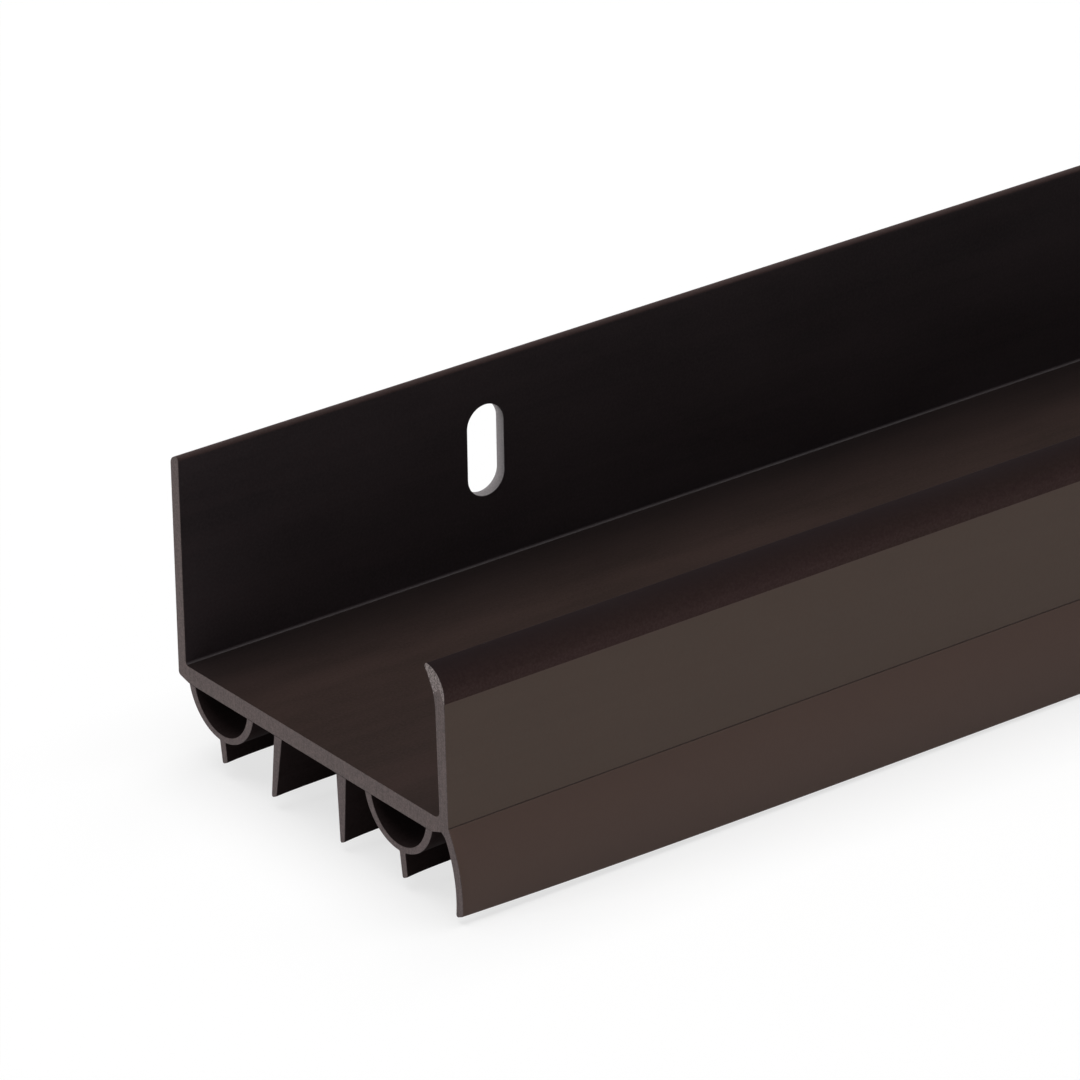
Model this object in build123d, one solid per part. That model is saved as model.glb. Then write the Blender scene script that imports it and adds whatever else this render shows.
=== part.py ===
from build123d import *
import os
from math import cos, radians, sin, sqrt, tan

os.makedirs("parts", exist_ok=True)

# A slide-on door bottom seal: a rigid U channel that grips the door's lower edge,
# with soft strips welded to it along their whole length as both are extruded.
# X runs along the strip, Y from the front face to the slotted rear flange, Z up.
# The origin is the middle of the seat, the flat top of the web under the door.
# All sizes are in millimetres, and all angles in degrees.

# The strip and the door it takes
strip_length = 914.4
door_thickness = 44.45
door_clearance = 0.65

# Web, the floor of the channel
web_thickness = 2.0

# Rear flange, the tall wall that is screwed to the door
rear_height = 24.05
rear_thickness = 1.4
rear_top_radius = 0.95
rear_heel_rise = 0.45
rear_heel_width = 1.8
rear_heel_radius = 0.45
rear_corner_fillet = 0.35

# Screw slots, in one row along the rear flange
slot_count = 5
slot_width = 4.9
slot_length = 10.8
slot_centre_height = 13.4
slot_end_distance = 40.05

# Front flange, which leans towards the door and thickens upwards
front_height = 13.4
front_root_thickness = 1.42
front_top_thickness = 1.57
front_lean = 0.9
front_bend_height = 12.7
front_corner_fillet = 0.8

# Weld between the front flange and the lip, a low roof in section
weld_inner_height = 13.95
weld_apex_height = 14.95
weld_apex_depth = 0.76

# Lip, the soft top edge that curls against the door's face
lip_height = 17.0
lip_reach = 2.0
lip_bend_height = 14.0
lip_root_thickness = 1.78
lip_tip_radius = 0.36
lip_underside_slope = 60.0
lip_underside_sag = 0.09

# Drip edge, the soft skirt below the front face
drip_junction_drop = 0.6
drip_drop = 11.0
drip_straight = 0.95
drip_flare = 2.6
drip_thickness = 1.1
drip_root_width = 1.22
drip_root_web = 1.45
drip_root_blend = 0.9
drip_tip_slant = 28.0
drip_tip_radius = 0.3

# Hollow bulbs under the web, a flattened half round each
bulb_half_width = 5.8
bulb_depth = 4.55
bulb_root_wall = 1.07
bulb_crown_wall = 0.67
rear_bulb_inset = 6.38
front_bulb_inset = 7.16

# Short fins, one under the crown of each bulb
bulb_fin_root_thickness = 1.0
bulb_fin_tip_thickness = 0.86
bulb_fin_lean = -7.0
rear_bulb_fin_length = 2.7
front_bulb_fin_length = 3.05
front_bulb_fin_offset = -0.5

# Long fins between the bulbs
rear_fin_position = 5.85
rear_fin_root_thickness = 1.35
rear_fin_tip_thickness = 0.88
rear_fin_lean = 7.8
rear_fin_length = 7.65
front_fin_position = -5.38
front_fin_root_thickness = 1.65
front_fin_tip_thickness = 0.75
front_fin_lean = 0.3
front_fin_length = 8.0

# Ends of the fins, cut at a slant with rounded corners
fin_tip_slant = 27.0
fin_tip_radius = 0.22

# Places that follow from the sizes
inner_half = (door_thickness + door_clearance) / 2
rear_outer = inner_half + rear_thickness
web_underside = -web_thickness
slot_pitch = (strip_length - 2 * slot_end_distance) / (slot_count - 1)


def front_outer(height: float) -> float:
    """Y of the front flange's outer face at a height above the seat."""
    return -(inner_half + front_root_thickness) + height * tan(radians(front_lean))


def front_inner(height: float) -> float:
    """Y of the front flange's inner face at a height, up to where it bends."""
    growth = (front_top_thickness - front_root_thickness) / front_bend_height
    return front_outer(height) + front_root_thickness + growth * height


# Corners where a soft strip's weld starts and ends on the channel, as (Y, Z)
lip_weld = [
    (front_outer(front_height), front_height),
    (front_outer(weld_apex_height) + weld_apex_depth, weld_apex_height),
    (front_outer(weld_inner_height) + lip_root_thickness, weld_inner_height),
]
drip_junction = (front_outer(-drip_junction_drop), -drip_junction_drop)
drip_root = (front_outer(0) + drip_root_width, -drip_root_web)


def along_strip(section: Face) -> Part:
    """A section in the YZ plane, carried along the whole strip."""
    end_plane = Plane.YZ.offset(-strip_length / 2)
    return extrude(end_plane * section, amount=strip_length)


def closed_face(*edges: Edge) -> Face:
    """The face inside edges that meet end to end."""
    return make_face(Curve() + list(edges))


def arc_about(centre: tuple, start: tuple, end: tuple) -> Edge:
    """The shorter arc about a centre from one point to another."""
    from_centre = Vector(*start) - Vector(*centre)
    bisector = from_centre + Vector(*end) - Vector(*centre)
    middle = Vector(*centre) + bisector.normalized() * from_centre.length
    return ThreePointArc(start, middle, end)


def channel_section() -> Face:
    """Rear flange, web and front flange, from the rear flange's top round by its outer face."""
    rear_bulb_root = inner_half - rear_bulb_inset + bulb_half_width
    front_bulb_root = front_bulb_inset - inner_half - bulb_half_width
    heel_start = max(rear_outer - rear_heel_width, rear_bulb_root)
    corners = [
        ((inner_half, rear_height), 0),
        ((rear_outer, rear_height), rear_top_radius),
        ((rear_outer, web_underside + rear_heel_rise), rear_heel_radius),
        ((heel_start, web_underside), 0),
        ((front_bulb_root, web_underside), 0),
        (drip_root, 0),
        (drip_junction, 0),
        *((corner, 0) for corner in lip_weld),
        ((front_inner(front_bend_height), front_bend_height), 0),
        ((front_inner(0), 0), front_corner_fillet),
        ((inner_half, 0), rear_corner_fillet),
    ]
    points = [point for point, radius in corners]
    radii = [radius for point, radius in corners]
    return make_face(FilletPolyline(*points, radius=radii, close=True))


def screw_slots() -> Part:
    """The row of upright slots, as solids that pass through the rear flange."""
    wall_middle = (0, inner_half + rear_thickness / 2, slot_centre_height)
    flange_plane = Plane(origin=wall_middle, x_dir=(1, 0, 0), z_dir=(0, -1, 0))
    slot = SlotOverall(slot_length, slot_width, rotation=90)
    row = [flange_plane * place * slot for place in GridLocations(slot_pitch, 0, slot_count, 1)]
    return Part() + [extrude(one, amount=rear_thickness, both=True) for one in row]


def channel() -> Part:
    """The rigid U channel with its screw slots."""
    return along_strip(channel_section()) - screw_slots()


def door_lip() -> Part:
    """The soft lip: an outer arc over the top, a round tip, and a nearly straight underside."""
    outer_start, weld_apex, inner_start = lip_weld
    tip_centre = (lip_reach - inner_half - lip_tip_radius, lip_height - lip_tip_radius)
    # The outer arc leaves the line of the front face smoothly, and meets the tip smoothly
    bend_start = (front_outer(lip_bend_height), lip_bend_height)
    inward = (cos(radians(front_lean)), -sin(radians(front_lean)))
    to_tip = (tip_centre[0] - bend_start[0], tip_centre[1] - bend_start[1])
    depth = to_tip[0] * inward[0] + to_tip[1] * inward[1] - lip_tip_radius
    outer_radius = (to_tip[0] ** 2 + to_tip[1] ** 2 - lip_tip_radius**2) / (2 * depth)
    outer_centre = (
        bend_start[0] + outer_radius * inward[0],
        bend_start[1] + outer_radius * inward[1],
    )
    tip_share = lip_tip_radius / (outer_radius - lip_tip_radius)
    tip_start = (
        tip_centre[0] + (tip_centre[0] - outer_centre[0]) * tip_share,
        tip_centre[1] + (tip_centre[1] - outer_centre[1]) * tip_share,
    )
    # The underside is square to this direction
    square = (sin(radians(lip_underside_slope)), -cos(radians(lip_underside_slope)))
    tip_end = (
        tip_centre[0] + lip_tip_radius * square[0],
        tip_centre[1] + lip_tip_radius * square[1],
    )
    underside_middle = (
        (tip_end[0] + inner_start[0]) / 2 - lip_underside_sag * square[0],
        (tip_end[1] + inner_start[1]) / 2 - lip_underside_sag * square[1],
    )
    section = closed_face(
        Line(outer_start, bend_start),
        arc_about(outer_centre, bend_start, tip_start),
        arc_about(tip_centre, tip_start, tip_end),
        ThreePointArc(tip_end, underside_middle, inner_start),
        Polyline(inner_start, weld_apex, outer_start),
    )
    return along_strip(section)


def drip_edge() -> Part:
    """The soft skirt: two arcs about one centre, upright at the tip, and a blended root."""
    arc_end = -(drip_drop - drip_straight)
    arc_rise = drip_junction[1] - arc_end
    outer_radius = (arc_rise**2 + drip_flare**2) / (2 * drip_flare)
    inner_radius = outer_radius - drip_thickness
    outer_end = (drip_junction[0] - drip_flare, arc_end)
    inner_end = (outer_end[0] + drip_thickness, arc_end)
    centre = (outer_end[0] + outer_radius, arc_end)
    # The inner arc stops short of the web, and a second arc blends it into the root
    blend_height = -(drip_root_web + drip_root_blend)
    blend_y = centre[0] - sqrt(inner_radius**2 - (blend_height - arc_end) ** 2)
    blend_start = (blend_y, blend_height)
    blend_direction = (blend_height - arc_end, centre[0] - blend_y)
    tip_rise = drip_thickness * tan(radians(drip_tip_slant))
    tip_points = [
        outer_end,
        (outer_end[0], -drip_drop + tip_rise),
        (inner_end[0], -drip_drop),
        inner_end,
    ]
    section = closed_face(
        arc_about(centre, drip_junction, outer_end),
        FilletPolyline(*tip_points, radius=drip_tip_radius),
        arc_about(centre, inner_end, blend_start),
        TangentArc(blend_start, drip_root, tangent=blend_direction),
        Line(drip_root, drip_junction),
    )
    return along_strip(section)


def fin_section(root: tuple, thickness: tuple, lean: float, length: float) -> Face:
    """A tapered fin below a root point, leaning to the rear by an angle, with a slanted tip."""
    root_half, tip_half = thickness[0] / 2, thickness[1] / 2
    tip_y = root[0] + length * tan(radians(lean))
    tip_z = root[1] - length
    tip_rise = 2 * tip_half * tan(radians(fin_tip_slant))
    points = [
        (root[0] - root_half, root[1]),
        (root[0] + root_half, root[1]),
        (tip_y + tip_half, tip_z),
        (tip_y - tip_half, tip_z + tip_rise),
    ]
    radii = [0, 0, fin_tip_radius, fin_tip_radius]
    return make_face(FilletPolyline(*points, radius=radii, close=True))


def bulb(centre_y: float, fin_length: float, fin_offset: float = 0) -> Part:
    """A hollow bulb that closes against the web, with a short fin near its crown."""
    inner_width = bulb_half_width - bulb_root_wall
    inner_depth = bulb_depth - bulb_crown_wall
    crown = web_underside - bulb_depth
    wall = closed_face(
        ThreePointArc(
            (centre_y - bulb_half_width, web_underside),
            (centre_y, crown),
            (centre_y + bulb_half_width, web_underside),
        ),
        Line((centre_y + bulb_half_width, web_underside), (centre_y + inner_width, web_underside)),
        ThreePointArc(
            (centre_y + inner_width, web_underside),
            (centre_y, web_underside - inner_depth),
            (centre_y - inner_width, web_underside),
        ),
        Line((centre_y - inner_width, web_underside), (centre_y - bulb_half_width, web_underside)),
    )
    # The fin starts inside the crown's wall, so that the two are one piece
    sunk = bulb_crown_wall / 2
    thickness = (bulb_fin_root_thickness, bulb_fin_tip_thickness)
    fin_root = (centre_y + fin_offset, crown + sunk)
    fin = fin_section(fin_root, thickness, bulb_fin_lean, fin_length + sunk)
    return along_strip(wall + fin)


def long_fin(centre_y: float, thickness: tuple, lean: float, length: float) -> Part:
    """A fin that hangs from the web between the bulbs."""
    return along_strip(fin_section((centre_y, web_underside), thickness, lean, length))


rear_bulb_y = inner_half - rear_bulb_inset
front_bulb_y = front_bulb_inset - inner_half
rear_fin_walls = (rear_fin_root_thickness, rear_fin_tip_thickness)
front_fin_walls = (front_fin_root_thickness, front_fin_tip_thickness)
pieces = {
    "channel": channel(),
    "door_lip": door_lip(),
    "drip_edge": drip_edge(),
    "rear_bulb": bulb(rear_bulb_y, rear_bulb_fin_length),
    "front_bulb": bulb(front_bulb_y, front_bulb_fin_length, front_bulb_fin_offset),
    "rear_fin": long_fin(rear_fin_position, rear_fin_walls, rear_fin_lean, rear_fin_length),
    "front_fin": long_fin(front_fin_position, front_fin_walls, front_fin_lean, front_fin_length),
}

for name, piece in pieces.items():
    export_step(piece, f"parts/{name}.step")
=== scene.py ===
import logging
from abc import ABC, abstractmethod
from dataclasses import dataclass, field, replace
from enum import IntEnum
from math import atan2, ceil, copysign, cos, exp, hypot, pi, radians, sin, sqrt, tan

import bmesh
import bpy
from bmesh.types import BMEdge, BMesh, BMVert
from mathutils import Matrix, Vector

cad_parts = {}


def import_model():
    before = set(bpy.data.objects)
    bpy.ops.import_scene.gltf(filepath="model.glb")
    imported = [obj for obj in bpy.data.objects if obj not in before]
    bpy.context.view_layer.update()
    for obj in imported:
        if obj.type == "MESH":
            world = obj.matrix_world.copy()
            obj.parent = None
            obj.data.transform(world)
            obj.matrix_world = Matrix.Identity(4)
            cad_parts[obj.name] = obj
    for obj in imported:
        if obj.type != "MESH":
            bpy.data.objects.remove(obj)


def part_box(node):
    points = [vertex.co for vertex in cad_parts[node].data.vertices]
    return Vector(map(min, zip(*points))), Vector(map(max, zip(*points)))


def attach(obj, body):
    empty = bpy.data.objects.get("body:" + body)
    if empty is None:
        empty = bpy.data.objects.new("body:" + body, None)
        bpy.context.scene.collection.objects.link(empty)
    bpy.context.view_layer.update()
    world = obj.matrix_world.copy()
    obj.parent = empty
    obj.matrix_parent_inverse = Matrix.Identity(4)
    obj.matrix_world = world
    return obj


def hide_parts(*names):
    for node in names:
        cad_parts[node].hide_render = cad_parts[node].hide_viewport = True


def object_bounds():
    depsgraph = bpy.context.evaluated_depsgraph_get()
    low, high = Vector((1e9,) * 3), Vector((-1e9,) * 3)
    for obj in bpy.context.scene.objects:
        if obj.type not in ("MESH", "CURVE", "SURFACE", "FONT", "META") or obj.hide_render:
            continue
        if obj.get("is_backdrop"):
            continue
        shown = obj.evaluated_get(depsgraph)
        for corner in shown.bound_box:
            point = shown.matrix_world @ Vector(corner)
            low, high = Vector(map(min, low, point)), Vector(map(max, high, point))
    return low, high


log = logging.getLogger("door_bottom_seal")

# A point of an outline, the two Y values a weld runs between, and a place in space
Point = tuple[float, float]
Span = tuple[float, float]
Place = tuple[float, float, float]

Colour = tuple[float, float, float, float]
Materials = tuple[bpy.types.Material, ...]

X = Vector((1, 0, 0))
Y = Vector((0, 1, 0))
Z = Vector((0, 0, 1))

# Longest steps along an arc
ARC_STEP_MM = 0.25
ARC_STEP_DEG = 9.0

# Points closer than this are one point
COINCIDENT_MM = 0.001

# A point this near to a welded side counts as on it
WELD_REACH_MM = 0.002

# Segments across a small rounded edge
EDGE_SEGMENTS = 2

# Least part of a face's normal along an axis when the face counts as facing that way
FACING_END = 0.99
FACING_FRONT = 0.98
FACING_UP = 0.9
SLANTING_UP = 0.1

# Numbers of the Mix node's sockets, for colours and for single values
MIX_A, MIX_B, MIX_RESULT = 6, 7, 2
VALUE_A, VALUE_B = 2, 3


def mm(size: float) -> float:
    """A size in millimetres as metres."""
    return size / 1000


def linear(hex_colour: str) -> Colour:
    """An sRGB colour turned to linear light.

    Args:
        hex_colour: six hex digits after a hash.

    Returns:
        Red, green, blue and an alpha of one.
    """
    channels = []
    for start in (1, 3, 5):
        value = int(hex_colour[start:start + 2], 16) / 255
        channels.append(value / 12.92 if value <= 0.04045 else ((value + 0.055) / 1.055) ** 2.4)
    return (*channels, 1.0)


def add_object(name: str, data: bpy.types.ID) -> bpy.types.Object:
    """Adds an object to the scene.

    Args:
        name: the object's name.
        data: its mesh, camera or light.

    Returns:
        The new object.
    """
    added = bpy.data.objects.new(name, data)
    bpy.context.collection.objects.link(added)
    return added


def add_mesh(name: str, mesh: BMesh, materials: Materials) -> bpy.types.Object:
    """Adds an object with a mesh to the scene.

    Args:
        name: the object's name.
        mesh: its mesh, which is freed.
        materials: the materials of its slots.

    Returns:
        The new object.
    """
    data = bpy.data.meshes.new(name)
    for material in materials:
        data.materials.append(material)
    mesh.to_mesh(data)
    mesh.free()
    return add_object(name, data)


def empty_tree(owner: bpy.types.Material | bpy.types.World) -> bpy.types.NodeTree:
    """Turns a material's or a world's nodes on and clears them.

    Args:
        owner: the material or world.

    Returns:
        Its node tree, without nodes.
    """
    owner.use_nodes = True
    owner.node_tree.nodes.clear()
    return owner.node_tree


def add_node(
    tree: bpy.types.NodeTree, kind: str, inputs: dict | None = None, **settings
) -> bpy.types.Node:
    """Adds one node to a tree.

    Args:
        tree: the node tree.
        kind: the node's type name, without its leading word ShaderNode.
        inputs: values or output sockets, by the name or number of the node's input.
        settings: the node's own properties.

    Returns:
        The new node.
    """
    node = tree.nodes.new(f"ShaderNode{kind}")
    for name, value in settings.items():
        setattr(node, name, value)
    for name, value in (inputs or {}).items():
        if isinstance(value, bpy.types.NodeSocket):
            tree.links.new(value, node.inputs[name])
        else:
            node.inputs[name].default_value = value
    return node


def blend(
    tree: bpy.types.NodeTree, colour: Colour | bpy.types.NodeSocket, other: str,
    value: bpy.types.NodeSocket, low: float, high: float, share: float,
) -> bpy.types.NodeSocket:
    """Mixes another colour in, more of it where a value is higher.

    Args:
        tree: the node tree.
        colour: the colour so far.
        other: the other colour, in hex.
        value: the value that decides.
        low: the value where the other colour starts.
        high: the value where it shows most.
        share: how much of it shows there.

    Returns:
        The mixed colour.
    """
    amount = add_node(
        tree, "MapRange", {"Value": value, "From Min": low, "From Max": high, "To Max": share}
    ).outputs[0]
    return add_node(
        tree, "Mix", {"Factor": amount, MIX_A: colour, MIX_B: linear(other)}, data_type="RGBA"
    ).outputs[MIX_RESULT]


class Face(IntEnum):
    """Material slots of a strip, by how the surface was made; on the channel, SHOW, SEAT and EDGE
    are lighter or darker copies of one plastic, painted light and shade by which way a face looks.
    """

    SKIN = 0
    SHOW = 1
    SAWN = 2
    PUNCHED = 3
    SEAT = 4
    EDGE = 5


@dataclass(frozen=True)
class Fade:
    """A slow change of colour across a strip's section, the same all along it."""

    axis: str
    start_mm: float
    end_mm: float
    colour: str
    share: float = 1.0


@dataclass(frozen=True)
class ExtrudedPvc:
    """PVC as the die leaves it: dyed through, with faint streaks drawn along the strip."""

    name: str
    colour: str
    streak_colour: str
    speckle_colour: str
    fade: Fade | None = None
    roughness: float = 0.45
    roughness_spread: float = 0.08
    specular: float = 0.5
    ior: float = 1.5
    streak_share: float = 0.5
    streak_width_mm: float = 1.6
    streak_length_mm: float = 80.0
    cloud_share: float = 0.3
    cloud_mm: float = 7.0
    cloud_length_mm: float = 21.0
    speckle_share: float = 0.2
    speckle_mm: float = 0.3
    line_width_mm: float = 0.45
    line_height_mm: float = 0.004
    grain_mm: float = 0.3
    grain_height_mm: float = 0.012
    noise_roughness: float = 0.6
    pattern_low: float = 0.38
    pattern_high: float = 0.66
    dull_low: float = 0.3
    dull_high: float = 0.7

    def build(self) -> bpy.types.Material:
        """Makes the material, its patterns laid out in real millimetres.

        Returns:
            The material.
        """
        material = bpy.data.materials.new(self.name)
        tree = empty_tree(material)
        place = add_node(tree, "TexCoord").outputs["Object"]
        noises = {}
        for part, width, length, detail in (
            ("streaks", self.streak_width_mm, self.streak_length_mm, 4.0),
            ("clouds", self.cloud_mm, self.cloud_length_mm, 5.0),
            ("speckle", self.speckle_mm, self.speckle_mm, 2.0),
            ("lines", self.line_width_mm, self.streak_length_mm, 2.0),
            ("grain", self.grain_mm, self.grain_mm, 3.0),
        ):
            scale = (1000 / length, 1000 / width, 1000 / width)
            stretched = add_node(tree, "Mapping", {"Vector": place, "Scale": scale}).outputs[0]
            noises[part] = add_node(
                tree, "TexNoise",
                {
                    "Vector": stretched, "Scale": 1.0, "Detail": detail,
                    "Roughness": self.noise_roughness,
                },
            ).outputs["Fac"]
        colour = linear(self.colour)
        for part, other, share in (
            ("streaks", self.streak_colour, self.streak_share),
            ("clouds", self.streak_colour, self.cloud_share),
            ("speckle", self.speckle_colour, self.speckle_share),
        ):
            colour = blend(
                tree, colour, other, noises[part], self.pattern_low, self.pattern_high, share
            )
        if self.fade:
            across = add_node(tree, "SeparateXYZ", {"Vector": place}).outputs[self.fade.axis]
            colour = blend(
                tree, colour, self.fade.colour, across, mm(self.fade.start_mm),
                mm(self.fade.end_mm), self.fade.share,
            )
        roughness = add_node(
            tree, "MapRange",
            {
                "Value": noises["clouds"], "From Min": self.dull_low, "From Max": self.dull_high,
                "To Min": self.roughness, "To Max": self.roughness + self.roughness_spread,
            },
        ).outputs[0]
        drawn = add_node(
            tree, "Bump", {"Height": noises["lines"], "Distance": mm(self.line_height_mm)}
        ).outputs[0]
        relief = add_node(
            tree, "Bump",
            {"Height": noises["grain"], "Distance": mm(self.grain_height_mm), "Normal": drawn},
        ).outputs[0]
        shader = add_node(
            tree, "BsdfPrincipled",
            {
                "Base Color": colour, "Roughness": roughness, "Normal": relief,
                "IOR": self.ior, "Specular IOR Level": self.specular,
            },
        ).outputs[0]
        add_node(tree, "OutputMaterial", {"Surface": shader})
        return material


@dataclass(frozen=True)
class CutPvc:
    """PVC where a saw or a punch went through: paler, dull and finely torn."""

    name: str
    colour: str
    pale_colour: str
    pale_share: float = 0.6
    mark_share: float = 0.2
    mark_width_mm: float = 0.22
    mark_length_mm: float = 5.0
    mark_height_mm: float = 0.02
    mark_slant_deg: float = 20.0
    speckle_mm: float = 0.16
    speckle_roughness: float = 0.7
    noise_detail: float = 3.0
    pattern_low: float = 0.4
    pattern_high: float = 0.65
    roughness: float = 0.7
    specular: float = 0.3

    def build(self) -> bpy.types.Material:
        """Makes the material.

        Returns:
            The material.
        """
        material = bpy.data.materials.new(self.name)
        tree = empty_tree(material)
        place = add_node(tree, "TexCoord").outputs["Object"]
        scale = (1000 / self.mark_width_mm, 1000 / self.mark_width_mm, 1000 / self.mark_length_mm)
        slant = (radians(self.mark_slant_deg), 0, 0)
        along = add_node(
            tree, "Mapping", {"Vector": place, "Rotation": slant, "Scale": scale}
        ).outputs[0]
        marks = add_node(
            tree, "TexNoise", {"Vector": along, "Scale": 1.0, "Detail": self.noise_detail}
        ).outputs["Fac"]
        speckle = add_node(
            tree, "TexNoise",
            {
                "Vector": place, "Scale": 1000 / self.speckle_mm, "Detail": self.noise_detail,
                "Roughness": self.speckle_roughness,
            },
        ).outputs["Fac"]
        colour = linear(self.colour)
        for part, share in ((marks, self.mark_share), (speckle, self.pale_share)):
            colour = blend(
                tree, colour, self.pale_colour, part, self.pattern_low, self.pattern_high, share
            )
        relief = add_node(
            tree, "Bump", {"Height": marks, "Distance": mm(self.mark_height_mm)}
        ).outputs[0]
        shader = add_node(
            tree, "BsdfPrincipled",
            {
                "Base Color": colour, "Roughness": self.roughness, "Normal": relief,
                "Specular IOR Level": self.specular,
            },
        ).outputs[0]
        add_node(tree, "OutputMaterial", {"Surface": shader})
        return material


# Rigid PVC with a satin skin: a near black, almost neutral brown that mirrors a little grey
RIGID_SKIN = ExtrudedPvc(
    "rigid_pvc_extruded", "#1f191b", "#2b2224", "#362e30", roughness=0.5, specular=0.24,
    cloud_share=0.5, speckle_share=0.3,
)
# The web's top: the same plastic, dull and browner, with painted shade that darkens it towards
# near black along the rear corner
RIGID_SEAT_PAINTED_SHADE = ExtrudedPvc(
    "rigid_pvc_web_top_painted_shade", "#231a17", "#352825", "#3c302d", roughness=0.6, specular=0.05,
    streak_share=0.2, cloud_share=0.4, line_height_mm=0.002,
    # Painted shade: darker towards the rear flange, from 10 mm to 21.5 mm across the web
    fade=Fade("Y", 10.0, 21.5, "#151214", 0.65),
)
# The rear flange's top edge: the same plastic, dull, as a lighter brown copy: painted light on the
# thin band that faces up
RIGID_EDGE_PAINTED_LIGHT = ExtrudedPvc(
    "rigid_pvc_top_edge_painted_light", "#322726", "#463837", "#4c3f3c", roughness=0.6, specular=0.05,
    streak_share=0.3, cloud_share=0.3,
)
# The same plastic on the front face as a lighter, warmer, even olive brown copy: painted light and
# reflection that the face gets from the floor in front of it
RIGID_FRONT_PAINTED_LIGHT = ExtrudedPvc(
    "rigid_pvc_front_painted_light", "#4a3c34", "#4f4139", "#54473e", roughness=0.4, specular=0.15,
    streak_share=0.2, cloud_share=0.2, speckle_share=0.1,
)
# Soft PVC of the lip: dull, with a fine dry grain, and darker towards its free edge
SOFT_LIP = ExtrudedPvc(
    "soft_pvc_lip", "#322623", "#39292a", "#4c3e3a", roughness=0.65, specular=0.03,
    speckle_share=0.3, grain_height_mm=0.02,
    fade=Fade("Z", 14.3, 17.0, "#1a1213"),
)
# Soft PVC of the skirt: as smooth as the front face, a little redder
SOFT_DRIP = ExtrudedPvc(
    "soft_pvc_drip", "#4c3c36", "#4f3f38", "#52433c", roughness=0.42, specular=0.15,
    streak_share=0.15, cloud_share=0.1, speckle_share=0.1,
)
# Soft PVC of the bulbs and fins: nearly black, without any sheen
SOFT_SEAL = ExtrudedPvc(
    "soft_pvc_seal", "#1f1818", "#282020", "#302827", roughness=0.8, specular=0.02,
)
# Sawn ends: torn grains turn the dark plastic a speckled grey
RIGID_SAWN = CutPvc("rigid_pvc_sawn", "#3b3332", "#685957")
SOFT_SAWN = CutPvc("soft_pvc_sawn", "#3b3333", "#675958")
# The lip's sawn end: coarser grains, and the palest of the sawn ends
LIP_SAWN = CutPvc("soft_pvc_lip_sawn", "#342c2b", "#948886", pale_share=0.85, speckle_mm=0.24)
# Slot walls: the punch stretches the plastic until it goes pale
RIGID_PUNCHED = CutPvc("rigid_pvc_punched", "#7b7677", "#959092", mark_length_mm=3.0)


def verts_of(parts: list) -> list[BMVert]:
    """The vertices among a mesh's parts."""
    return [part for part in parts if isinstance(part, BMVert)]


def round_edges(mesh: BMesh, edges: list[BMEdge], width_mm: float, finish: Face) -> None:
    """Rounds sharp edges a little.

    Args:
        mesh: the mesh.
        edges: its edges to round.
        width_mm: width of the rounding on either side.
        finish: the material slot of the new faces.
    """
    rounded = bmesh.ops.bevel(
        mesh, geom=edges, offset=mm(width_mm), affect="EDGES", segments=EDGE_SEGMENTS,
        profile=0.5, material=-1, clamp_overlap=False,
    )
    for face in rounded["faces"]:
        face.material_index = finish


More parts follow.
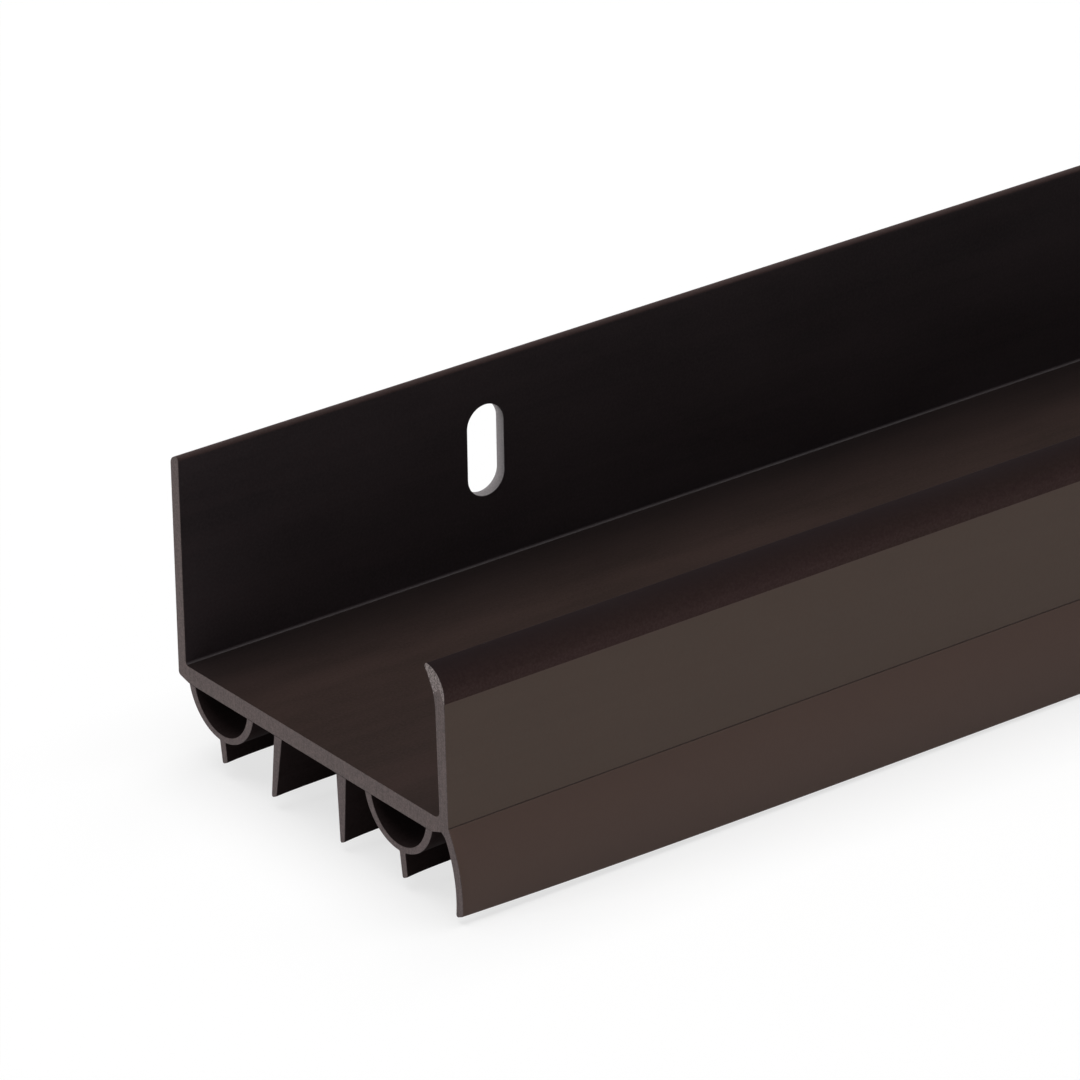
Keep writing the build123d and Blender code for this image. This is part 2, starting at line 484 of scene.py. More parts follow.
@dataclass
class Outline:
    """A closed outline, drawn side by side in one plane of its own mesh, in millimetres."""

    origin: Vector
    across: Vector
    up: Vector
    mesh: BMesh = field(default_factory=bmesh.new)
    first: BMVert | None = None
    last: BMVert | None = None
    at: Point = (0.0, 0.0)
    corners: list[tuple[BMVert, float]] = field(default_factory=list)
    hidden: list[tuple[Point, Point]] = field(default_factory=list)

    def place(self, point: Point) -> Vector:
        """A point of the plane in space, in metres."""
        return self.origin + self.across * mm(point[0]) + self.up * mm(point[1])

    def start(self, point: Point, corner: float = 0.0) -> None:
        """Sets the outline's first point.

        Args:
            point: the first point.
            corner: the radius that rounds it, if any.
        """
        self.first = self.last = self.mesh.verts.new(self.place(point))
        self.at = point
        self.corners.append((self.last, corner))

    def line(self, point: Point, corner: float = 0.0, welded: bool = False) -> None:
        """Draws a straight side.

        Args:
            point: where the side ends.
            corner: the radius that rounds that end, if any.
            welded: whether another strip covers this side.
        """
        self.last = bmesh.ops.extrude_vert_indiv(self.mesh, verts=[self.last])["verts"][0]
        self.last.co = self.place(point)
        if welded:
            self.hidden.append((self.at, point))
        self.at = point
        self.corners.append((self.last, corner))

    def arc(self, centre: Point, end: Point, corner: float = 0.0) -> None:
        """Draws the shorter arc about a centre.

        Args:
            centre: the arc's centre.
            end: where the arc ends.
            corner: the radius that rounds that end, if any.
        """
        begin = atan2(self.at[1] - centre[1], self.at[0] - centre[0])
        turn = atan2(end[1] - centre[1], end[0] - centre[0]) - begin
        turn = (turn + pi) % (2 * pi) - pi
        length = hypot(self.at[0] - centre[0], self.at[1] - centre[1]) * abs(turn)
        steps = ceil(max(length / ARC_STEP_MM, abs(turn) / radians(ARC_STEP_DEG)))
        spun = bmesh.ops.spin(
            self.mesh, geom=[self.last], cent=self.place(centre),
            axis=self.across.cross(self.up), angle=turn, steps=steps,
        )
        self.last = verts_of(spun["geom_last"])[0]
        self.last.co = self.place(end)
        self.at = end
        self.corners.append((self.last, corner))

    def bow(self, end: Point, rise: float) -> None:
        """Draws an arc whose middle stands off the straight way to its end.

        Args:
            end: where the arc ends.
            rise: how far its middle lies left of the straight way, or right if below zero.
        """
        way = Vector(end) - Vector(self.at)
        left = Vector((-way.y, way.x)).normalized()
        radius = (way.length ** 2 / 4 + rise ** 2) / (2 * abs(rise))
        middle = (Vector(self.at) + Vector(end)) / 2
        centre = middle + left * (rise - copysign(radius, rise))
        self.arc((centre.x, centre.y), end)

    def extrude(self, way: Vector) -> BMesh:
        """Closes and fills the outline, rounds its corners and draws it out to a solid.

        Args:
            way: how far and where to, in metres.

        Returns:
            The outline's mesh.
        """
        if (self.last.co - self.first.co).length < mm(COINCIDENT_MM):
            bmesh.ops.pointmerge(
                self.mesh, verts=[self.first, self.last], merge_co=self.first.co
            )
            self.corners = [pair for pair in self.corners if pair[0].is_valid]
        bmesh.ops.contextual_create(self.mesh, geom=self.mesh.verts[:] + self.mesh.edges[:])
        for corner, radius in self.corners:
            if radius:
                self._round(corner, radius)
        far = bmesh.ops.extrude_face_region(self.mesh, geom=self.mesh.faces[:])["geom"]
        bmesh.ops.translate(self.mesh, verts=verts_of(far), vec=way)
        return self.mesh

    def covers(self, edge: BMEdge) -> bool:
        """Whether an edge lies on a side that another strip covers.

        Args:
            edge: an edge at an end of the strip, square to the strip.

        Returns:
            True on a welded side.
        """
        for side in self.hidden:
            start, end = (Vector(point) for point in side)
            way = (end - start).normalized()
            for vert in edge.verts:
                flat = Vector((vert.co.dot(self.across), vert.co.dot(self.up))) * 1000 - start
                along = flat.dot(way)
                if abs(flat.x * way.y - flat.y * way.x) > WELD_REACH_MM:
                    break
                if not -WELD_REACH_MM < along < (end - start).length + WELD_REACH_MM:
                    break
            else:
                return True
        return False

    def _round(self, corner: BMVert, radius: float) -> None:
        """Rounds one corner.

        Args:
            corner: the corner's vertex.
            radius: the radius of its rounding.
        """
        sides = [edge.other_vert(corner).co - corner.co for edge in corner.link_edges]
        inside = sides[0].angle(sides[1])
        bmesh.ops.bevel(
            self.mesh, geom=[corner], offset=mm(radius) / tan(inside / 2), affect="VERTICES",
            segments=max(EDGE_SEGMENTS, ceil((pi - inside) / radians(ARC_STEP_DEG))),
            profile=0.5, material=-1, clamp_overlap=False,
        )


@dataclass(frozen=True)
class ChannelSizes:
    """Section of the rigid channel, in millimetres, with the places where soft strips join it."""

    inner_half: float = 22.55
    web_thickness: float = 2.0
    rear_height: float = 24.05
    rear_thickness: float = 1.4
    rear_top_radius: float = 0.95
    rear_top_inner_radius: float = 0.43
    heel_rise: float = 0.45
    heel_width: float = 1.8
    heel_radius: float = 0.45
    rear_corner_fillet: float = 0.35
    front_height: float = 13.4
    front_root_thickness: float = 1.42
    front_top_thickness: float = 1.57
    front_lean: float = 0.9
    front_bend_height: float = 12.7
    front_corner_fillet: float = 0.8
    weld_inner_height: float = 13.95
    weld_apex_height: float = 14.95
    weld_apex_depth: float = 0.76
    lip_root_thickness: float = 1.78
    drip_junction_drop: float = 0.6
    drip_root_width: float = 1.22
    drip_root_web: float = 1.45
    junction_radius: float = 0.12
    rear_bulb_inset: float = 6.38
    rear_fin_y: float = 5.85
    front_fin_y: float = -5.38
    front_bulb_inset: float = 7.16

    def front_outer(self, height: float) -> float:
        """Y of the front flange's outer face at a height above the seat."""
        return height * tan(radians(self.front_lean)) - self.inner_half - self.front_root_thickness

    def front_inner(self, height: float) -> float:
        """Y of the front flange's inner face at a height, up to where it bends."""
        growth = (self.front_top_thickness - self.front_root_thickness) / self.front_bend_height
        return self.front_outer(height) + self.front_root_thickness + growth * height

    def lip_weld(self) -> tuple[Point, Point, Point]:
        """Where the lip is welded on the front flange.

        Returns:
            The weld's outer corner, its apex and its inner corner.
        """
        outer = (self.front_outer(self.front_height), self.front_height)
        apex_y = self.front_outer(self.weld_apex_height) + self.weld_apex_depth
        inner_y = self.front_outer(self.weld_inner_height) + self.lip_root_thickness
        return outer, (apex_y, self.weld_apex_height), (inner_y, self.weld_inner_height)

    def drip_weld(self) -> tuple[Point, Point]:
        """The weld above the skirt: its line on the front face, and its end under the web."""
        junction = (self.front_outer(-self.drip_junction_drop), -self.drip_junction_drop)
        return junction, (self.front_outer(0) + self.drip_root_width, -self.drip_root_web)


@dataclass
class Strip(ABC):
    """A length of one plastic, divided across at its stations where it bends near both ends."""

    name: str
    node: str
    slot: str
    materials: Materials
    sizes: ChannelSizes
    stations_mm: tuple[float, ...] = ()
    end_edge_mm: float = 0.06
    crease_deg: float = 32.0

    @abstractmethod
    def draw(self, outline: Outline) -> None:
        """Draws the strip's section."""

    def shift(self, height: float, inward: float) -> tuple[float, float]:
        """How far a point moves in Y and Z, by its height and distance from the nearer end."""
        return 0.0, 0.0

    def paint(self, mesh: BMesh) -> None:
        """Gives other finishes to faces of the mesh, where the strip has them."""

    def cut(self, piece: bpy.types.Object) -> None:
        """Makes the cuts that go through the strip, where it has them."""

    def build(self) -> bpy.types.Object:
        """Makes the strip's piece in place of its CAD node.

        Returns:
            The piece.
        """
        low, high = (Vector(corner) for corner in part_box(self.node))
        outline = Outline(X * low.x, Y, Z)
        self.draw(outline)
        mesh = outline.extrude(X * (high.x - low.x))
        bmesh.ops.recalc_face_normals(mesh, faces=mesh.faces[:])
        for inward in self.stations_mm:
            for place in (low.x + mm(inward), high.x - mm(inward)):
                bmesh.ops.bisect_plane(
                    mesh, geom=mesh.verts[:] + mesh.edges[:] + mesh.faces[:],
                    plane_co=X * place, plane_no=X,
                )
        self._cut_ends(mesh, outline)
        self._bend(mesh, low.x, high.x)
        self.paint(mesh)
        piece = add_mesh(self.name, mesh, self.materials)
        self.cut(piece)
        piece.data.shade_smooth()
        piece.data.set_sharp_from_angle(angle=radians(self.crease_deg))
        weighted = piece.modifiers.new("even_shading", "WEIGHTED_NORMAL")
        weighted.keep_sharp = True
        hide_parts(self.node)
        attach(piece, "root")
        return piece

    def _cut_ends(self, mesh: BMesh, outline: Outline) -> None:
        """Marks the sawn ends, and takes the sharp edge off round them.

        Args:
            mesh: the strip's mesh.
            outline: the outline it was drawn with.
        """
        ends = [face for face in mesh.faces if abs(face.normal.x) > FACING_END]
        for face in ends:
            face.material_index = Face.SAWN
        rim = [edge for face in ends for edge in face.edges if not outline.covers(edge)]
        round_edges(mesh, rim, self.end_edge_mm, Face.SAWN)
        bmesh.ops.remove_doubles(mesh, verts=mesh.verts[:], dist=mm(COINCIDENT_MM))

    def _bend(self, mesh: BMesh, low: float, high: float) -> None:
        """Moves the soft parts to where they stand, by height and distance from the nearer end.

        Args:
            mesh: the strip's mesh.
            low: X of the near end, in metres.
            high: X of the far end, in metres.
        """
        for vert in mesh.verts:
            inward = min(vert.co.x - low, high - vert.co.x) * 1000
            across, up = self.shift(vert.co.z * 1000, inward)
            vert.co += Vector((0, mm(across), mm(up)))


@dataclass
class Channel(Strip):
    """The rigid U channel: tall slotted rear flange, web, and front flange."""

    slot_count: int = 5
    slot_width: float = 4.9
    slot_length: float = 10.8
    slot_centre_height: float = 13.4
    slot_end_distance: float = 40.05
    slot_rim_mm: float = 0.04
    punch_reach: float = 2.0
    face_margin: float = 1.0
    underside_welds: tuple[Span, ...] = ()

    def draw(self, outline: Outline) -> None:
        """Draws the section, from the rear flange's top down its outer face and round.

        Args:
            outline: the outline to draw.
        """
        sizes = self.sizes
        rear_outer = sizes.inner_half + sizes.rear_thickness
        below = -sizes.web_thickness
        junction, root = sizes.drip_weld()
        lip_outer, lip_apex, lip_inner = sizes.lip_weld()
        outline.start((sizes.inner_half, sizes.rear_height), sizes.rear_top_inner_radius)
        outline.line((rear_outer, sizes.rear_height), sizes.rear_top_radius)
        outline.line((rear_outer, below + sizes.heel_rise), sizes.heel_radius)
        outline.line((rear_outer - sizes.heel_width, below))
        for near, far in self.underside_welds:
            outline.line((near, below))
            outline.line((far, below), welded=True)
        outline.line(root)
        outline.line(junction, sizes.junction_radius, welded=True)
        outline.line(lip_outer)
        outline.line(lip_apex, welded=True)
        outline.line(lip_inner, welded=True)
        outline.line((sizes.front_inner(sizes.front_bend_height), sizes.front_bend_height))
        outline.line((sizes.front_inner(0), 0), sizes.front_corner_fillet)
        outline.line((sizes.inner_half, 0), sizes.rear_corner_fillet)

    def paint(self, mesh: BMesh) -> None:
        """Gives the front face, the web's top and the rear flange's top edge their own copies of
        the plastic, with painted light and shade.

        Args:
            mesh: the channel's mesh, with its ends cut.
        """
        front = mm(-self.sizes.inner_half - self.face_margin)
        seat = mm(self.face_margin)
        edge = mm(self.sizes.rear_height - self.sizes.rear_top_inner_radius)
        for face in mesh.faces:
            way = face.normal
            centre = face.calc_center_median()
            if way.y < -FACING_FRONT and centre.y < front:
                face.material_index = Face.SHOW
            elif way.z > FACING_UP and centre.z < seat:
                face.material_index = Face.SEAT
            elif way.z > SLANTING_UP and centre.z > edge and face.material_index == Face.SKIN:
                face.material_index = Face.EDGE

    def cut(self, piece: bpy.types.Object) -> None:
        """Punches the row of screw slots through the rear flange.

        Args:
            piece: the channel, without slots.
        """
        punches = add_mesh("slot_punches", self._punches(), self.materials)
        boolean = piece.modifiers.new("slots", "BOOLEAN")
        boolean.operation = "DIFFERENCE"
        boolean.solver = "EXACT"
        boolean.object = punches
        bpy.context.view_layer.update()
        evaluated = piece.evaluated_get(bpy.context.evaluated_depsgraph_get())
        cut_data = bpy.data.meshes.new_from_object(evaluated)
        piece.modifiers.remove(boolean)
        bpy.data.objects.remove(punches)
        piece.data = cut_data
        self._ease_slots(cut_data)

    def _punches(self) -> BMesh:
        """Makes the row of punches, of the slots' size and a little longer than the wall.

        Returns:
            Their mesh.
        """
        wall = self.sizes.inner_half + self.sizes.rear_thickness / 2
        half_width = self.slot_width / 2
        straight = self.slot_length / 2 - half_width
        behind = Y * mm(wall + self.punch_reach)
        outline = Outline(behind + Z * mm(self.slot_centre_height), X, Z)
        outline.start((half_width, -straight))
        for sign in (1, -1):
            centre = (0, sign * straight)
            outline.line((sign * half_width, centre[1]))
            outline.arc(centre, (0, sign * (straight + half_width)))
            outline.arc(centre, (-sign * half_width, centre[1]))
        mesh = outline.extrude(Y * mm(-2 * self.punch_reach))
        low, high = (Vector(corner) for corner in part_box(self.node))
        first = low.x + mm(self.slot_end_distance)
        pitch = (high.x - low.x - mm(2 * self.slot_end_distance)) / (self.slot_count - 1)
        punch = mesh.verts[:] + mesh.edges[:] + mesh.faces[:]
        for number in range(1, self.slot_count):
            copy = bmesh.ops.duplicate(mesh, geom=punch)["geom"]
            bmesh.ops.translate(mesh, verts=verts_of(copy), vec=X * (first + number * pitch))
        bmesh.ops.translate(mesh, verts=verts_of(punch), vec=X * first)
        bmesh.ops.recalc_face_normals(mesh, faces=mesh.faces[:])
        for face in mesh.faces:
            face.material_index = Face.PUNCHED
        return mesh

    def _ease_slots(self, data: bpy.types.Mesh) -> None:
        """Rounds the rims of the slots a little.

        Args:
            data: the channel's mesh, with its slots cut.
        """
        mesh = bmesh.new()
        mesh.from_mesh(data)
        rims = [
            edge for edge in mesh.edges
            if len({face.material_index == Face.PUNCHED for face in edge.link_faces}) == 2
        ]
        round_edges(mesh, rims, self.slot_rim_mm, Face.SKIN)
        mesh.to_mesh(data)
        mesh.free()


@dataclass
class DoorLip(Strip):
    """The soft lip on the front flange, which curls over towards the door's face."""

    height: float = 17.0
    reach: float = 2.0
    bend_height: float = 14.0
    tip_radius: float = 0.36
    underside_slope: float = 60.0
    underside_sag: float = 0.09

    def draw(self, outline: Outline) -> None:
        """Draws the section from the weld's outer corner over the top and back.

        Args:
            outline: the outline to draw.
        """
        outer, apex, inner = self.sizes.lip_weld()
        tip_y = self.reach - self.sizes.inner_half - self.tip_radius
        tip = Vector((tip_y, self.height - self.tip_radius))
        bend = Vector((self.sizes.front_outer(self.bend_height), self.bend_height))
        lean, slope = radians(self.sizes.front_lean), radians(self.underside_slope)
        inward = Vector((cos(lean), -sin(lean)))
        way = tip - bend
        spare = way.dot(inward) - self.tip_radius
        radius = (way.length_squared - self.tip_radius ** 2) / (2 * spare)
        centre = bend + inward * radius
        tip_start = tip + (tip - centre) * self.tip_radius / (radius - self.tip_radius)
        tip_end = tip + Vector((sin(slope), -cos(slope))) * self.tip_radius
        outline.start(outer)
        outline.line(tuple(bend))
        outline.arc(tuple(centre), tuple(tip_start))
        outline.arc(tuple(tip), tuple(tip_end))
        outline.bow(inner, -self.underside_sag)
        outline.line(apex, welded=True)
        outline.line(outer, welded=True)


@dataclass
class DripEdge(Strip):
    """The soft skirt below the front face, which throws water off."""

    stations_mm: tuple[float, ...] = (
        1.2, 2.5, 4.0, 6.0, 9.0, 13.0, 18.0, 24.0, 32.0, 42.0, 55.0, 75.0, 110.0,
    )
    drop: float = 10.985
    straight: float = 0.95
    flare: float = 2.6
    thickness: float = 1.1
    root_blend: float = 0.9
    tip_slant: float = 28.0
    tip_radius: float = 0.3
    end_lift: float = 0.8
    end_lift_reach: float = 25.0
    end_lift_curve: float = 1.5
    lift_inward: float = 0.557
    lift_upward: float = 0.83

    def draw(self, outline: Outline) -> None:
        """Draws the section from the junction down the outer face and up the inner one.

        Args:
            outline: the outline to draw.
        """
        junction, root = self.sizes.drip_weld()
        arc_end = self.straight - self.drop
        outer_end = (junction[0] - self.flare, arc_end)
        inner_end = (outer_end[0] + self.thickness, arc_end)
        rise = junction[1] - arc_end
        outer_radius = (rise ** 2 + self.flare ** 2) / (2 * self.flare)
        inner_radius = outer_radius - self.thickness
        centre = (outer_end[0] + outer_radius, arc_end)
        blend_height = -(self.sizes.drip_root_web + self.root_blend)
        blend_in = sqrt(inner_radius ** 2 - (blend_height - arc_end) ** 2)
        blend_start = (centre[0] - blend_in, blend_height)
        tip_rise = self.thickness * tan(radians(self.tip_slant))
        outline.start(junction, self.sizes.junction_radius)
        outline.arc(centre, outer_end)
        outline.line((outer_end[0], tip_rise - self.drop), self.tip_radius)
        outline.line((inner_end[0], -self.drop), self.tip_radius)
        outline.line(inner_end)
        outline.arc(centre, blend_start)
        outline.bow(root, self._blend_rise(centre, blend_start, root))
        outline.line(junction, welded=True)

    def shift(self, height: float, inward: float) -> tuple[float, float]:
        """Draws the skirt's tip in near the sawn ends, most at the cut.

        Args:
            height: the point's height above the seat, in millimetres.
            inward: its distance from the nearer end, in millimetres.

        Returns:
            The way it moves in Y and Z, in millimetres.
        """
        share = min(max(-height / self.drop, 0.0), 1.0) ** self.end_lift_curve
        lift = self.end_lift * exp(-inward / self.end_lift_reach) * share
        return self.lift_inward * lift, self.lift_upward * lift

    @staticmethod
    def _blend_rise(centre: Point, start: Point, root: Point) -> float:
        """Rise of the arc that leaves the inner face smoothly and ends at the root.

        Args:
            centre: centre of the inner face's arc.
            start: where the arc starts on it.
            root: where the arc ends.

        Returns:
            The rise of its middle, to the left of the way up.
        """
        tangent = Vector((start[1] - centre[1], centre[0] - start[0])).normalized()
        way = Vector(root) - Vector(start)
        half_turn = atan2(tangent.x * way.y - tangent.y * way.x, tangent.dot(way))
        return -way.length / 2 * tan(half_turn / 2)


@dataclass(frozen=True)
class Fin:
    """A tapered fin in section, with a slanted tip, in millimetres."""

    root_thickness: float
    tip_thickness: float
    lean: float
    length: float
    tip_slant: float = 27.0
    tip_radius: float = 0.22

    def draw(self, outline: Outline, root: Point, front: Point, corner: float = 0.0) -> None:
        """Draws down the fin's rear side, round its tip and up its front side.

        Args:
            outline: the outline, which stands where the rear side starts.
            root: middle of the fin's root.
            front: where the front side ends.
            corner: the radius that rounds that end, if any.
        """
        outline.line(self.tip(root, True), self.tip_radius)
        outline.line(self.tip(root, False), self.tip_radius)
        outline.line(front, corner)

    def tip(self, root: Point, rear: bool) -> Point:
        """The corner between one side of the fin and its tip.

        Args:
            root: middle of the fin's root.
            rear: whether it's the rear side.

        Returns:
            The corner, before it is rounded.
        """
        sign = 1 if rear else -1
        rise = 0.0 if rear else self.tip_thickness * tan(radians(self.tip_slant))
        middle = root[0] + self.length * tan(radians(self.lean))
        return middle + sign * self.tip_thickness / 2, root[1] - self.length + rise

    def side(self, root: Point, rear: bool) -> tuple[Vector, Vector]:
        """One side of the fin as a line, from its root to its tip."""
        start = root[0] + (1 if rear else -1) * self.root_thickness / 2
        return Vector((start, root[1])), Vector(self.tip(root, rear))


@dataclass
class SoftSeal(Strip):
    """A soft strip under the web, whose tip springs up a little away from the sawn ends."""

    stations_mm: tuple[float, ...] = (1.2, 2.5, 4.0, 6.0, 9.0, 13.0)
    centre_y: float = 0.0
    tip_rise: float = 0.2
    tip_depth: float = 10.0
    rise_reach: float = 2.5

    @abstractmethod
    def feet(self) -> tuple[Span, ...]:
        """Where the strip is welded to the web, each foot from its rear to its front."""

    def shift(self, height: float, inward: float) -> tuple[float, float]:
        """Nothing at the cut, and the whole rise a few millimetres in from it.

        Args:
            height: the point's height above the seat, in millimetres.
            inward: its distance from the nearer end, in millimetres.

        Returns:
            The way it moves in Y and Z, in millimetres.
        """
        below = -self.sizes.web_thickness - height
        share = min(max(below / (self.tip_depth - self.sizes.web_thickness), 0.0), 1.0)
        return 0.0, self.tip_rise * (1 - exp(-inward / self.rise_reach)) * share


@dataclass
class LongFin(SoftSeal):
    """A fin that hangs from the web between the bulbs."""

    fin: Fin = Fin(root_thickness=1.35, tip_thickness=0.88, lean=7.8, length=7.65)

    def feet(self) -> tuple[Span, ...]:
        """The fin's root on the web."""
        half = self.fin.root_thickness / 2
        return ((self.centre_y + half, self.centre_y - half),)

    def draw(self, outline: Outline) -> None:
        """Draws the fin from its root on the web.

        Args:
            outline: the outline to draw.
        """
        web = -self.sizes.web_thickness
        rear, front = self.feet()[0]
        outline.start((front, web))
        outline.line((rear, web), welded=True)
        self.fin.draw(outline, (self.centre_y, web), (front, web))


@dataclass
class Bulb(SoftSeal):
    """A hollow half round bulb under the web, with a short fin near its crown."""

    half_width: float = 5.8
    depth: float = 4.55
    root_wall: float = 1.07
    crown_wall: float = 0.67
    fin_offset: float = 0.0
    fin_blend: float = 0.15
    fin: Fin = Fin(root_thickness=1.0, tip_thickness=0.86, lean=-7.0, length=2.7)

    def feet(self) -> tuple[Span, ...]:
        """The ends of the bulb's wall on the web.

        Returns:
            The rear foot and the front foot.
        """
        inner = self.half_width - self.root_wall
        rear = (self.centre_y + self.half_width, self.centre_y + inner)
        return rear, (self.centre_y - inner, self.centre_y - self.half_width)

    def draw(self, outline: Outline) -> None:
        """Draws the hollow, then the outer arc with its fin.

        Args:
            outline: the outline to draw.
        """
        web = -self.sizes.web_thickness
        (rear_outer, rear_inner), (front_inner, front_outer) = self.feet()
        radius = (self.half_width ** 2 + self.depth ** 2) / (2 * self.depth)
        centre = (self.centre_y, web - self.depth + radius)
        fin = replace(self.fin, length=self.fin.length + self.crown_wall / 2)
        fin_root = (self.centre_y + self.fin_offset, web - self.depth + self.crown_wall / 2)
        fin_rear, fin_front = (
            self._meets(centre, radius, *fin.side(fin_root, rear)) for rear in (True, False)
        )
        outline.start((front_inner, web))
        outline.bow((rear_inner, web), self.crown_wall - self.depth)
        outline.line((rear_outer, web), welded=True)
        outline.arc(centre, fin_rear, self.fin_blend)
        fin.draw(outline, fin_root, fin_front, self.fin_blend)
        outline.arc(centre, (front_outer, web))
        outline.hidden.append((outline.at, (front_inner, web)))

    @staticmethod
    def _meets(centre: Point, radius: float, start: Vector, end: Vector) -> Point:
        """Where a line that starts inside a circle leaves it.

        Args:
            centre: the circle's centre.
            radius: its radius.
            start: a point of the line inside the circle.
            end: a point of the line outside it.

        Returns:
            The point on the circle.
        """
        way = (end - start).normalized()
        offset = start - Vector(centre)
        along = -offset.dot(way) + sqrt(offset.dot(way) ** 2 - offset.length_squared + radius ** 2)
        point = start + way * along
        return point.x, point.y


@dataclass(frozen=True)
class Viewpoint:
    """The camera, set where the photograph was taken from."""

    aim: Place = (-0.4326, -0.0075, 0.0184)
    distance: float = 0.7556
    azimuth: float = -36.902
    elevation: float = 25.470
    roll: float = -0.895
    lens_mm: float = 243.03
    clip_m: tuple[float, float] = (0.01, 100.0)

    def build(self) -> None:
        """Makes the camera and gives it to the scene."""
        turn, lift, tilt = (radians(angle) for angle in (self.azimuth, self.elevation, self.roll))
        back = Vector((sin(turn) * cos(lift), -cos(turn) * cos(lift), sin(lift)))
        level = Vector((cos(turn), sin(turn), 0))
        upright = back.cross(level)
        right = cos(tilt) * level + sin(tilt) * upright
        up = back.cross(right)
        data = bpy.data.cameras.new("viewpoint")
        data.lens = self.lens_mm
        data.sensor_fit = "HORIZONTAL"
        data.clip_start, data.clip_end = self.clip_m
        camera = add_object("viewpoint", data)
        place = Matrix((right, up, back)).transposed().to_4x4()
        place.translation = Vector(self.aim) + back * self.distance
        camera.matrix_world = place
        bpy.context.scene.camera = camera


@dataclass(frozen=True)
class SoftLight:
    """A rectangular soft light, aimed at a point."""

    name: str
    place: Place
    aim: Place
    size: tuple[float, float]
    watts: float

    def build(self) -> None:
        """Makes the light."""
        data = bpy.data.lights.new(self.name, "AREA")
        data.shape = "RECTANGLE"
        data.size, data.size_y = self.size
        data.energy = self.watts
        light = add_object(self.name, data)
        light.location = self.place
        way = Vector(self.aim) - light.location
        light.rotation_euler = way.to_track_quat("-Z", "Y").to_euler()


@dataclass(frozen=True)
class Studio:
    """A floor and surroundings that the camera sees white, and two soft lights."""

    white: str = "#ffffff"
    floor_gap_mm: float = 0.02
    floor_size_m: float = 30.0
    floor_glow: float = 1.0
    shadow_share: float = 0.3
    sky_glow: float = 1.0
    sky_dark: float = 0.12
    sky_horizon: float = 0.25
    horizon_top: float = 0.15
    dark_from: float = 0.6
    lights: tuple[SoftLight, ...] = (
        SoftLight("softbox_above", (-0.2, 0.1, 1.3), (-0.2, 0.0, 0.0), (2.0, 1.2), 20.5),
        SoftLight("softbox_left", (-3.4, 0.59, 0.85), (-0.45, 0.0, 0.0), (0.8, 0.8), 33.0),
    )

    def build(self, low: Vector) -> None:
        """Makes the studio.

        Args:
            low: lowest corner of the object.
        """
        self._build_floor(low.z - mm(self.floor_gap_mm))
        self._build_sky()
        for light in self.lights:
            light.build()
            log.info("light %s", light.name)

    @staticmethod
    def _seen(tree: bpy.types.NodeTree) -> bpy.types.NodeSocket:
        """One for what the camera sees, straight, mirrored or through glass, and zero otherwise.

        Args:
            tree: the node tree to add to.

        Returns:
            The socket with the answer.
        """
        path = add_node(tree, "LightPath").outputs
        mirrored = add_node(
            tree, "Math", {0: path["Is Glossy Ray"], 1: path["Is Transmission Ray"]},
            operation="MAXIMUM",
        ).outputs[0]
        return add_node(
            tree, "Math", {0: path["Is Camera Ray"], 1: mirrored}, operation="MAXIMUM"
        ).outputs[0]

    def _build_floor(self, height: float) -> None:
        """Makes the floor, which looks white to the camera and keeps the object's shadow.

        Args:
            height: Z of the floor, in metres.
        """
        mesh = bmesh.new()
        bmesh.ops.create_grid(
            mesh, x_segments=1, y_segments=1, size=self.floor_size_m / 2,
            matrix=Matrix.Translation(Z * height),
        )
        material = bpy.data.materials.new("matte_white_floor")
        tree = empty_tree(material)
        seen = self._seen(tree)
        lit = add_node(tree, "BsdfDiffuse", {"Color": linear(self.white)}).outputs[0]
        glow = add_node(tree, "Emission", {"Strength": self.floor_glow}).outputs[0]
        shown = add_node(tree, "MixShader", {0: self.shadow_share, 1: glow, 2: lit}).outputs[0]
        surface = add_node(tree, "MixShader", {0: seen, 1: lit, 2: shown}).outputs[0]
        add_node(tree, "OutputMaterial", {"Surface": surface})
        floor = add_mesh("floor", mesh, (material,))
        floor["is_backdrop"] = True

    def _build_sky(self) -> None:
        """Makes surroundings that look white to the camera and light the object more dimly."""
        world = bpy.data.worlds.new("studio")
        tree = empty_tree(world)
        way = add_node(tree, "TexCoord").outputs["Generated"]
        height = add_node(tree, "SeparateXYZ", {"Vector": way}).outputs["Z"]
        pale = add_node(
            tree, "MapRange",
            {
                "Value": height, "From Min": self.horizon_top, "From Max": self.dark_from,
                "To Min": self.sky_horizon, "To Max": self.sky_dark,
            },
        ).outputs[0]
        seen = self._seen(tree)
        strength = add_node(
            tree, "Mix", {"Factor": seen, VALUE_A: pale, VALUE_B: self.sky_glow},
            data_type="FLOAT",
        ).outputs[0]
        sky = add_node(
            tree, "Background", {"Color": linear(self.white), "Strength": strength}
        ).outputs[0]
        add_node(tree, "OutputWorld", {"Surface": sky})
        bpy.context.scene.world = world


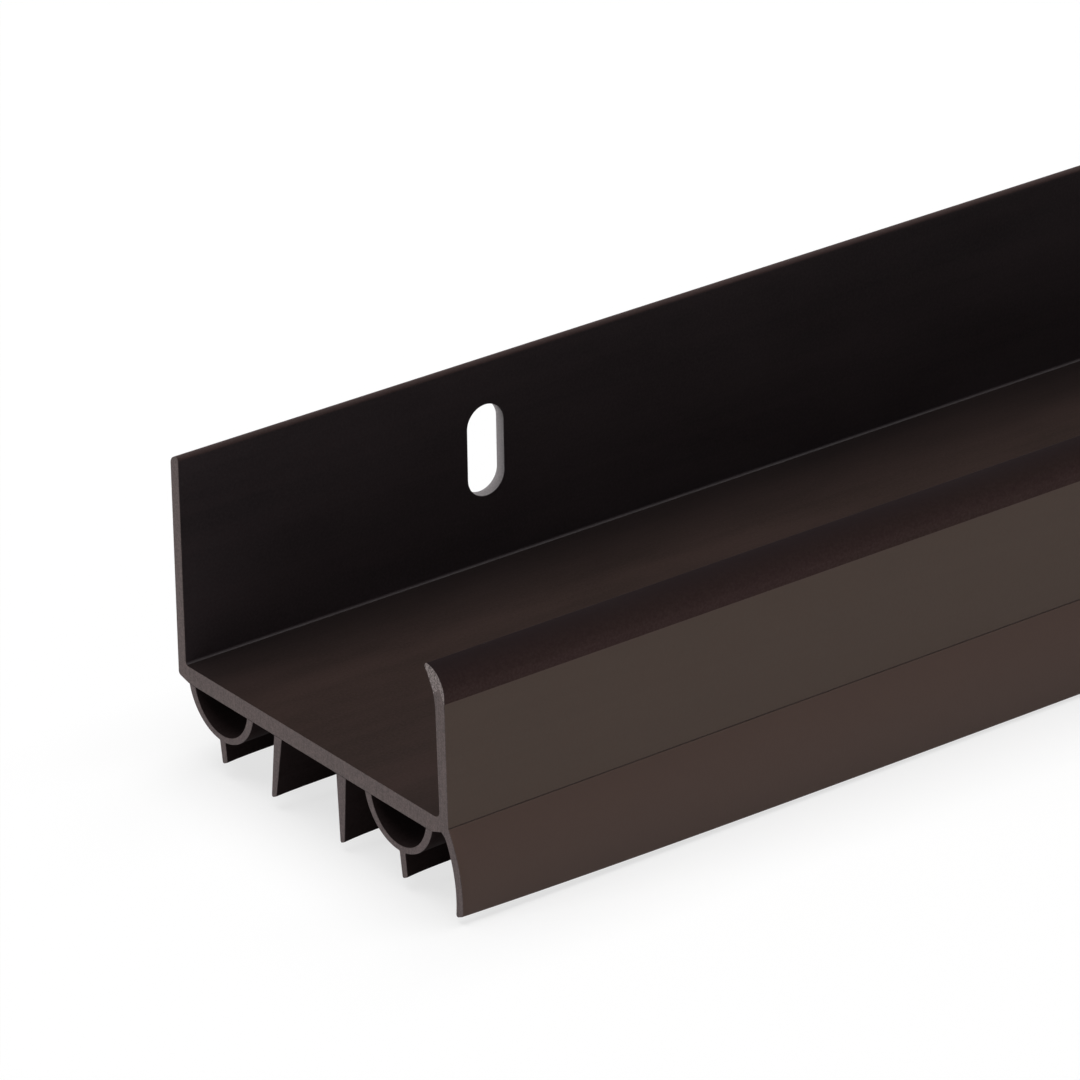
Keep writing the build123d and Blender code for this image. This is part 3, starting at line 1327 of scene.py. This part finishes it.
def soft_seals(sizes: ChannelSizes, materials: Materials) -> list[SoftSeal]:
    """The soft strips under the web, from the rear one to the front one.

    Args:
        sizes: the channel's sizes.
        materials: the strips' finishes, by material slot.

    Returns:
        The four strips, not built yet.
    """
    slot = "soft_plastic_seal"
    return [
        Bulb(
            "soft_rear_bulb", "rear_bulb", slot, materials, sizes,
            centre_y=sizes.inner_half - sizes.rear_bulb_inset, tip_rise=0.21, tip_depth=9.25,
        ),
        LongFin(
            "soft_rear_fin", "rear_fin", slot, materials, sizes,
            centre_y=sizes.rear_fin_y, tip_rise=0.14, tip_depth=9.65,
        ),
        LongFin(
            "soft_front_fin", "front_fin", slot, materials, sizes,
            centre_y=sizes.front_fin_y, tip_rise=0.27, tip_depth=10.0,
            fin=Fin(root_thickness=1.65, tip_thickness=0.75, lean=0.3, length=8.0),
        ),
        Bulb(
            "soft_front_bulb", "front_bulb", slot, materials, sizes,
            centre_y=sizes.front_bulb_inset - sizes.inner_half, tip_rise=0.27, tip_depth=9.6,
            fin_offset=-0.5,
            fin=Fin(root_thickness=1.0, tip_thickness=0.86, lean=-7.0, length=3.05),
        ),
    ]


def main() -> None:
    """Builds the object, its camera and its studio."""
    logging.basicConfig(level=logging.INFO, format="%(message)s")
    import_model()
    cad_low, cad_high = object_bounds()
    bpy.context.scene.view_settings.view_transform = "Standard"
    Viewpoint().build()
    Studio().build(Vector(cad_low))

    sizes = ChannelSizes()
    lip, drip, seal = SOFT_LIP.build(), SOFT_DRIP.build(), SOFT_SEAL.build()
    sawn, soft_sawn, lip_sawn = RIGID_SAWN.build(), SOFT_SAWN.build(), LIP_SAWN.build()
    rigid = (
        RIGID_SKIN.build(), RIGID_FRONT_PAINTED_LIGHT.build(), sawn, RIGID_PUNCHED.build(), RIGID_SEAT_PAINTED_SHADE.build(),
        RIGID_EDGE_PAINTED_LIGHT.build(),
    )
    seals = soft_seals(sizes, (seal, seal, soft_sawn))
    feet = sorted((foot for strip in seals for foot in strip.feet()), reverse=True)
    strips: list[Strip] = [
        Channel(
            "rigid_channel", "channel", "rigid_plastic", rigid, sizes,
            underside_welds=tuple(feet),
        ),
        *seals,
        DripEdge(
            "soft_drip_skirt", "drip_edge", "soft_plastic_drip", (drip, drip, soft_sawn), sizes
        ),
        DoorLip("soft_door_lip", "door_lip", "soft_plastic_lip", (lip, lip, lip_sawn), sizes),
    ]
    for strip in strips:
        piece = strip.build()
        log.info("%s: %d faces", piece.name, len(piece.data.polygons))

    log.info("size written")


if __name__ == "__main__":
    main()
